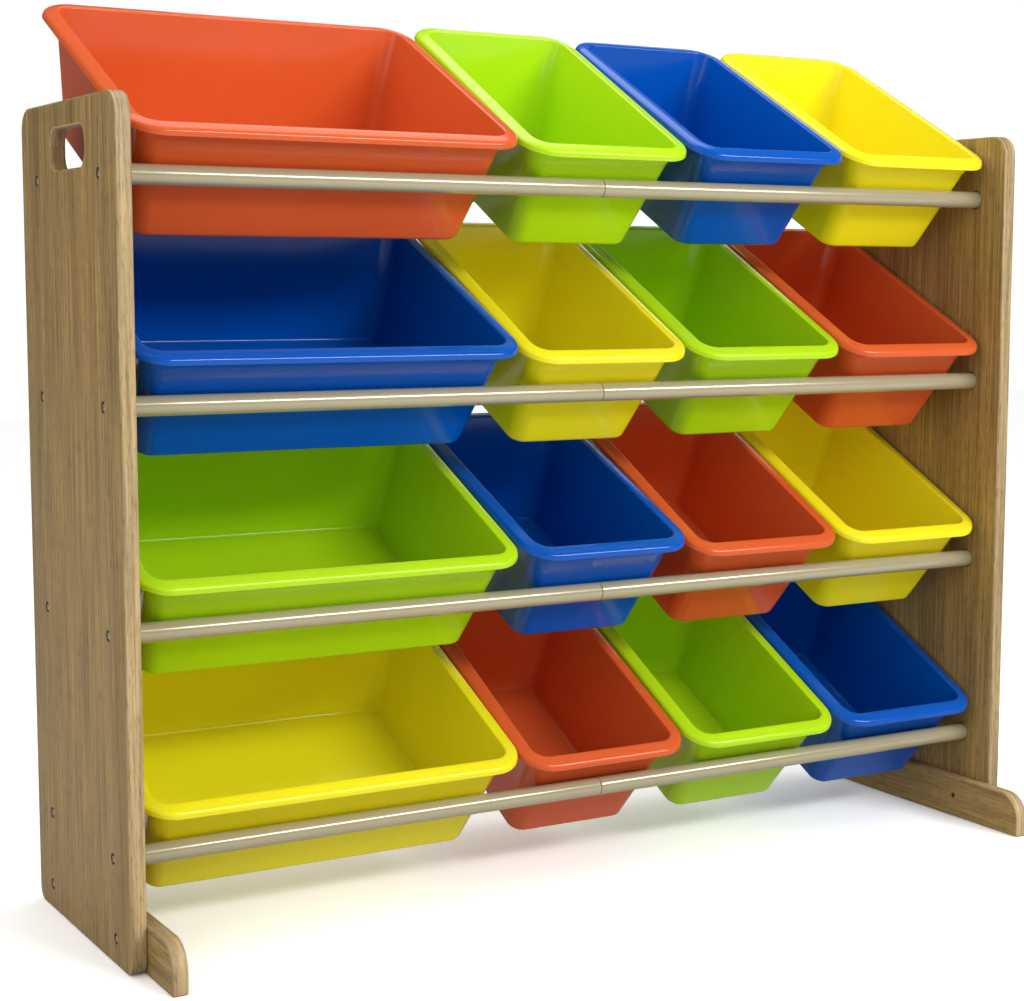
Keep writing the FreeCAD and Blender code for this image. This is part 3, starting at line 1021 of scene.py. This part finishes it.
def bin_rings(settings):
    """The rings of a bin's section, from its inner floor over the rim to its underside.

    Each ring is (kind, inset, z). kind says whether it follows the straight lip or the drawn-in
    tub. inset is measured inwards from the outer face of that, and z from the rim's plane.
    """
    wall, height = settings.wall, settings.height
    lip, roll = settings.rim_depth, settings.rim_round
    rings = []

    def lip_ring(inset, z):
        rings.append(("lip", inset, z))

    def tub_ring(inset, z):
        rings.append(("tub", inset, z))

    # inside, from the floor up to the rim
    for away, left in quarter_turn():
        tub_ring(wall + INNER_ROUND * left, -(height - wall) + INNER_ROUND * away)
    tub_ring(wall, -height * INNER_WALL_RING)
    for away, left in quarter_turn():
        tub_ring(wall - INNER_ROLL * away, -INNER_ROLL * left)
    # over the domed rim and down the lip
    land = settings.rim_overhang - LIP_WAIST - roll
    for share in DOME_RINGS:
        lip_ring(settings.rim_overhang - land * share, -DOME * share * share)
    for away, left in quarter_turn(ROUND_STEPS + 1)[1:]:
        lip_ring(LIP_WAIST + roll * left, -(DOME + (roll - DOME) * away))
    lip_ring(LIP_WAIST, -lip + LIP_FOOT_TOP)
    lip_ring(LIP_WAIST * LIP_FLARE, -lip + LIP_FOOT_LOW)
    edge_z = -lip + LIP_EDGE
    inner_lip = LIP_WAIST + wall * LIP_WALL_SHARE
    for across, start in ((LIP_EDGE, 180), (inner_lip - LIP_EDGE, 270)):
        arc = arc_points((across, edge_z), LIP_EDGE, start, start + 90, LIP_EDGE_STEPS)
        for inset, z in arc:
            lip_ring(inset, z)
    # the flange's underside and the tub's outside
    flange = roll - wall
    for away, left in quarter_turn():
        lip_ring(inner_lip + flange * away, -roll + flange * (1 - left))
    for away, left in quarter_turn():
        tub_ring(-NECK_ROUND * left - SHOULDER_STEP, -wall - NECK_ROUND * away)
    for out, down in SHOULDER_SLOPE:
        tub_ring(-SHOULDER_STEP * out, -SHOULDER_DEPTH - SHOULDER_STEP * down)
    tub_ring(0.0, -height * OUTER_WALL_RING)
    for away, left in quarter_turn(ROUND_STEPS + 1):
        tub_ring(settings.floor_round * away, -height + settings.floor_round * left)
    tub_ring(settings.floor_round + FOOT_RING, -height)
    tub_ring(settings.floor_round + FOOT_RING + FOOT_RING_STEP, -height + FLOOR_STEP)
    return rings


def bin_mesh(settings, width):
    """A bin in its own frame: the rim's plane is z = 0 and the floor is below it."""
    mesh = bmesh.new()
    loops = []
    for kind, inset, z in bin_rings(settings):
        half_width, half_length = width / 2 - inset, settings.length / 2 - inset
        corner = settings.rim_corner - inset
        if kind == "tub":
            depth = -z
            mouth, low = settings.tub_corner
            half_width -= settings.rim_overhang + settings.side_draw * depth
            half_length -= settings.rim_overhang + settings.end_draw * depth
            corner = mouth + (low - mouth) * depth / settings.height - inset
        ring = round_rectangle(half_width, half_length, corner)
        loops.append(add_loop(mesh, [(x, y, z) for x, y in ring]))
    for first, second in zip(loops, loops[1:]):
        join_loops(mesh, first, second)
    mesh.faces.new(loops[0])
    mesh.faces.new(loops[-1])
    return mesh


def bin_place(node, settings):
    """The matrix that carries a bin's own frame to its place, found from its node and its joint."""
    joint = next(j for j in frame["joints"] if j["child"] == node)
    lean = math.atan2(-joint["axis"][1], joint["axis"][2])
    low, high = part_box(node)
    half_length = settings.length / 2
    rim_z = high.z - half_length * math.sin(lean)
    rim_y = low.y + half_length * math.cos(lean)
    place = Vector(((low.x + high.x) / 2, rim_y, rim_z))
    return Matrix.Translation(place) @ Matrix.Rotation(lean, 4, "X")


class ORGANIZER_OT_bins(bpy.types.Operator):
    """Sixteen lift-out bins, each on its own body"""

    bl_idname = "organizer.bins"
    bl_label = "Bins"

    def execute(self, context):
        settings = context.scene.organizer_bin
        for node in BIN_NODES:
            low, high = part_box(node)
            colour_name = node.rsplit("_", 1)[1]
            plastic = bpy.data.materials.get("plastic_" + colour_name)
            if plastic is None:
                colour = getattr(settings, colour_name)
                plastic = moulded_plastic("plastic_" + colour_name, colour)
            mesh = bin_mesh(settings, high.x - low.x)
            bmesh.ops.transform(mesh, matrix=bin_place(node, settings), verts=mesh.verts)
            name = "tub_" + node.removeprefix("bin_")
            tub = finished_object(name, mesh, [plastic], BIN_SHARP_ANGLE)
            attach(tub, node)
            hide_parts(node)
        return {"FINISHED"}


# ---------------------------------------------------------------- studio

SENSOR_WIDTH = 36.0  # millimetres
LIGHTS = {  # where each light hangs, what it points at, its width and height, and its watts
    "key_front_right": ((1.15, -2.7, 1.85), (0.0, 0.0, 0.42), (2.1, 0.6), 74),
    "fill_left": ((-2.6, -1.0, 1.3), (-0.2, 0.0, 0.4), (1.6, 1.6), 9),
    "top_back": ((-0.1, 0.25, 1.9), (0.0, 0.0, 0.5), (1.8, 0.7), 8),
    "rim_strip": ((1.7, 2.3, 1.95), (0.0, 0.0, 0.55), (2.4, 0.14), 2.5),
}


def area_light(name, place, aim, size, power):
    light = bpy.data.lights.new(name, "AREA")
    light.shape = "RECTANGLE"
    light.size, light.size_y = size
    light.energy = power
    lamp = bpy.data.objects.new(name, light)
    lamp.location = place
    lamp.rotation_euler = (Vector(aim) - Vector(place)).to_track_quat("-Z", "Y").to_euler()
    bpy.context.scene.collection.objects.link(lamp)


def surround(studio):
    """A white backdrop that sends gentler light into the scene than it shows."""
    world = bpy.data.worlds.new("studio_surround")
    world.use_nodes = True
    nodes, links = world.node_tree.nodes, world.node_tree.links
    path = nodes.new("ShaderNodeLightPath").outputs
    mirrored = nodes.new("ShaderNodeMapRange")
    mirrored.inputs["To Min"].default_value = studio.sky_strength
    mirrored.inputs["To Max"].default_value = studio.sky_strength * studio.sky_gloss
    links.new(path["Is Glossy Ray"], mirrored.inputs["Value"])
    strength = nodes.new("ShaderNodeMapRange")
    strength.inputs["To Max"].default_value = studio.backdrop_strength
    links.new(mirrored.outputs["Result"], strength.inputs["To Min"])
    links.new(path["Is Camera Ray"], strength.inputs["Value"])
    background = nodes["Background"]
    background.inputs["Color"].default_value = (1.0, 1.0, 1.0, 1.0)
    links.new(strength.outputs["Result"], background.inputs["Strength"])
    return world


def studio_floor(studio):
    """A pale floor. The camera sees it nearly white, and it sends gentler light upwards."""
    half = studio.floor_size / 2
    mesh = bmesh.new()
    corners = ((-half, -half), (half, -half), (half, half), (-half, half))
    mesh.faces.new([mesh.verts.new((x, y, 0.0)) for x, y in corners])
    finish = Finish("studio_floor")
    cloud = finish.noise(finish.place(), 2.0, detail=1.0)
    tone = finish.ramp(cloud, [(0.3, 0.99), (0.7, 1.0)])
    shown = finish.mix(1.0, studio.floor_colour, tone, "MULTIPLY")
    seen = finish.node("LightPath").outputs["Is Camera Ray"]
    finish.set("Base Color", finish.mix(seen, (studio.floor_bounce,) * 3, shown))
    finish.set("Emission Color", (1.0, 1.0, 1.0, 1.0))
    finish.set("Emission Strength", finish.spread(seen, 0.0, studio.floor_glow))
    finish.set("Roughness", 0.55)
    finish.set("Specular IOR Level", 0.25)
    return finished_object("studio_floor", mesh, [finish.material])


def studio_camera(studio):
    """The camera at the photograph's angle."""
    camera = bpy.data.cameras.new("camera")
    camera.lens = studio.lens
    camera.sensor_width = SENSOR_WIDTH
    camera.shift_x = studio.shift
    camera.dof.use_dof = False
    stand = bpy.data.objects.new("camera", camera)
    yaw, pitch, roll = studio.camera_turn
    ahead = Vector(
        (math.sin(yaw) * math.cos(pitch), math.cos(yaw) * math.cos(pitch), math.sin(pitch))
    )
    level = Vector((math.cos(yaw), -math.sin(yaw), 0.0))
    upright = level.cross(ahead)
    right = level * math.cos(roll) + upright * math.sin(roll)
    up = upright * math.cos(roll) - level * math.sin(roll)
    turn = Matrix((right, up, -ahead)).transposed().to_4x4()
    stand.matrix_world = Matrix.Translation(Vector(studio.camera_place)) @ turn
    return stand


class ORGANIZER_OT_studio(bpy.types.Operator):
    """Pale floor, soft light and the camera"""

    bl_idname = "organizer.studio"
    bl_label = "Studio"

    def execute(self, context):
        studio = context.scene.organizer_studio
        studio_floor(studio)
        context.scene.world = surround(studio)
        for name, values in LIGHTS.items():
            area_light(name, *values)
        stand = studio_camera(studio)
        context.scene.collection.objects.link(stand)
        context.scene.camera = stand
        context.scene.view_settings.view_transform = "Standard"
        return {"FINISHED"}


# ---------------------------------------------------------------- panel and registration


class ORGANIZER_PT_sidebar(bpy.types.Panel):
    bl_idname = "ORGANIZER_PT_sidebar"
    bl_label = "Toy Storage Organizer"
    bl_space_type = "VIEW_3D"
    bl_region_type = "UI"
    bl_category = "Organizer"

    def draw(self, context):
        for group, operators in GROUPS.items():
            box = self.layout.box()
            settings = getattr(context.scene, group)
            for name in settings.__annotations__:
                box.prop(settings, name)
            for operator in operators:
                box.operator(operator.bl_idname)


GROUPS = {
    "organizer_board": [ORGANIZER_OT_panels, ORGANIZER_OT_feet],
    "organizer_rod": [ORGANIZER_OT_rods, ORGANIZER_OT_fittings],
    "organizer_screw": [ORGANIZER_OT_screws],
    "organizer_bin": [ORGANIZER_OT_bins],
    "organizer_studio": [ORGANIZER_OT_studio],
}
SETTINGS = {
    "organizer_board": BoardSettings,
    "organizer_rod": RodSettings,
    "organizer_screw": ScrewSettings,
    "organizer_bin": BinSettings,
    "organizer_studio": StudioSettings,
}
CLASSES = [*SETTINGS.values(), *(o for ops in GROUPS.values() for o in ops), ORGANIZER_PT_sidebar]


def register():
    for item in CLASSES:
        bpy.utils.register_class(item)
    for name, settings in SETTINGS.items():
        setattr(bpy.types.Scene, name, bpy.props.PointerProperty(type=settings))


def unregister():
    for name in SETTINGS:
        delattr(bpy.types.Scene, name)
    for item in reversed(CLASSES):
        bpy.utils.unregister_class(item)


def main():
    register()
    bpy.ops.organizer.panels()
    bpy.ops.organizer.feet()
    bpy.ops.organizer.rods()
    bpy.ops.organizer.fittings()
    bpy.ops.organizer.screws()
    bpy.ops.organizer.bins()
    bpy.ops.organizer.studio()


if __name__ == "__main__":
    main()
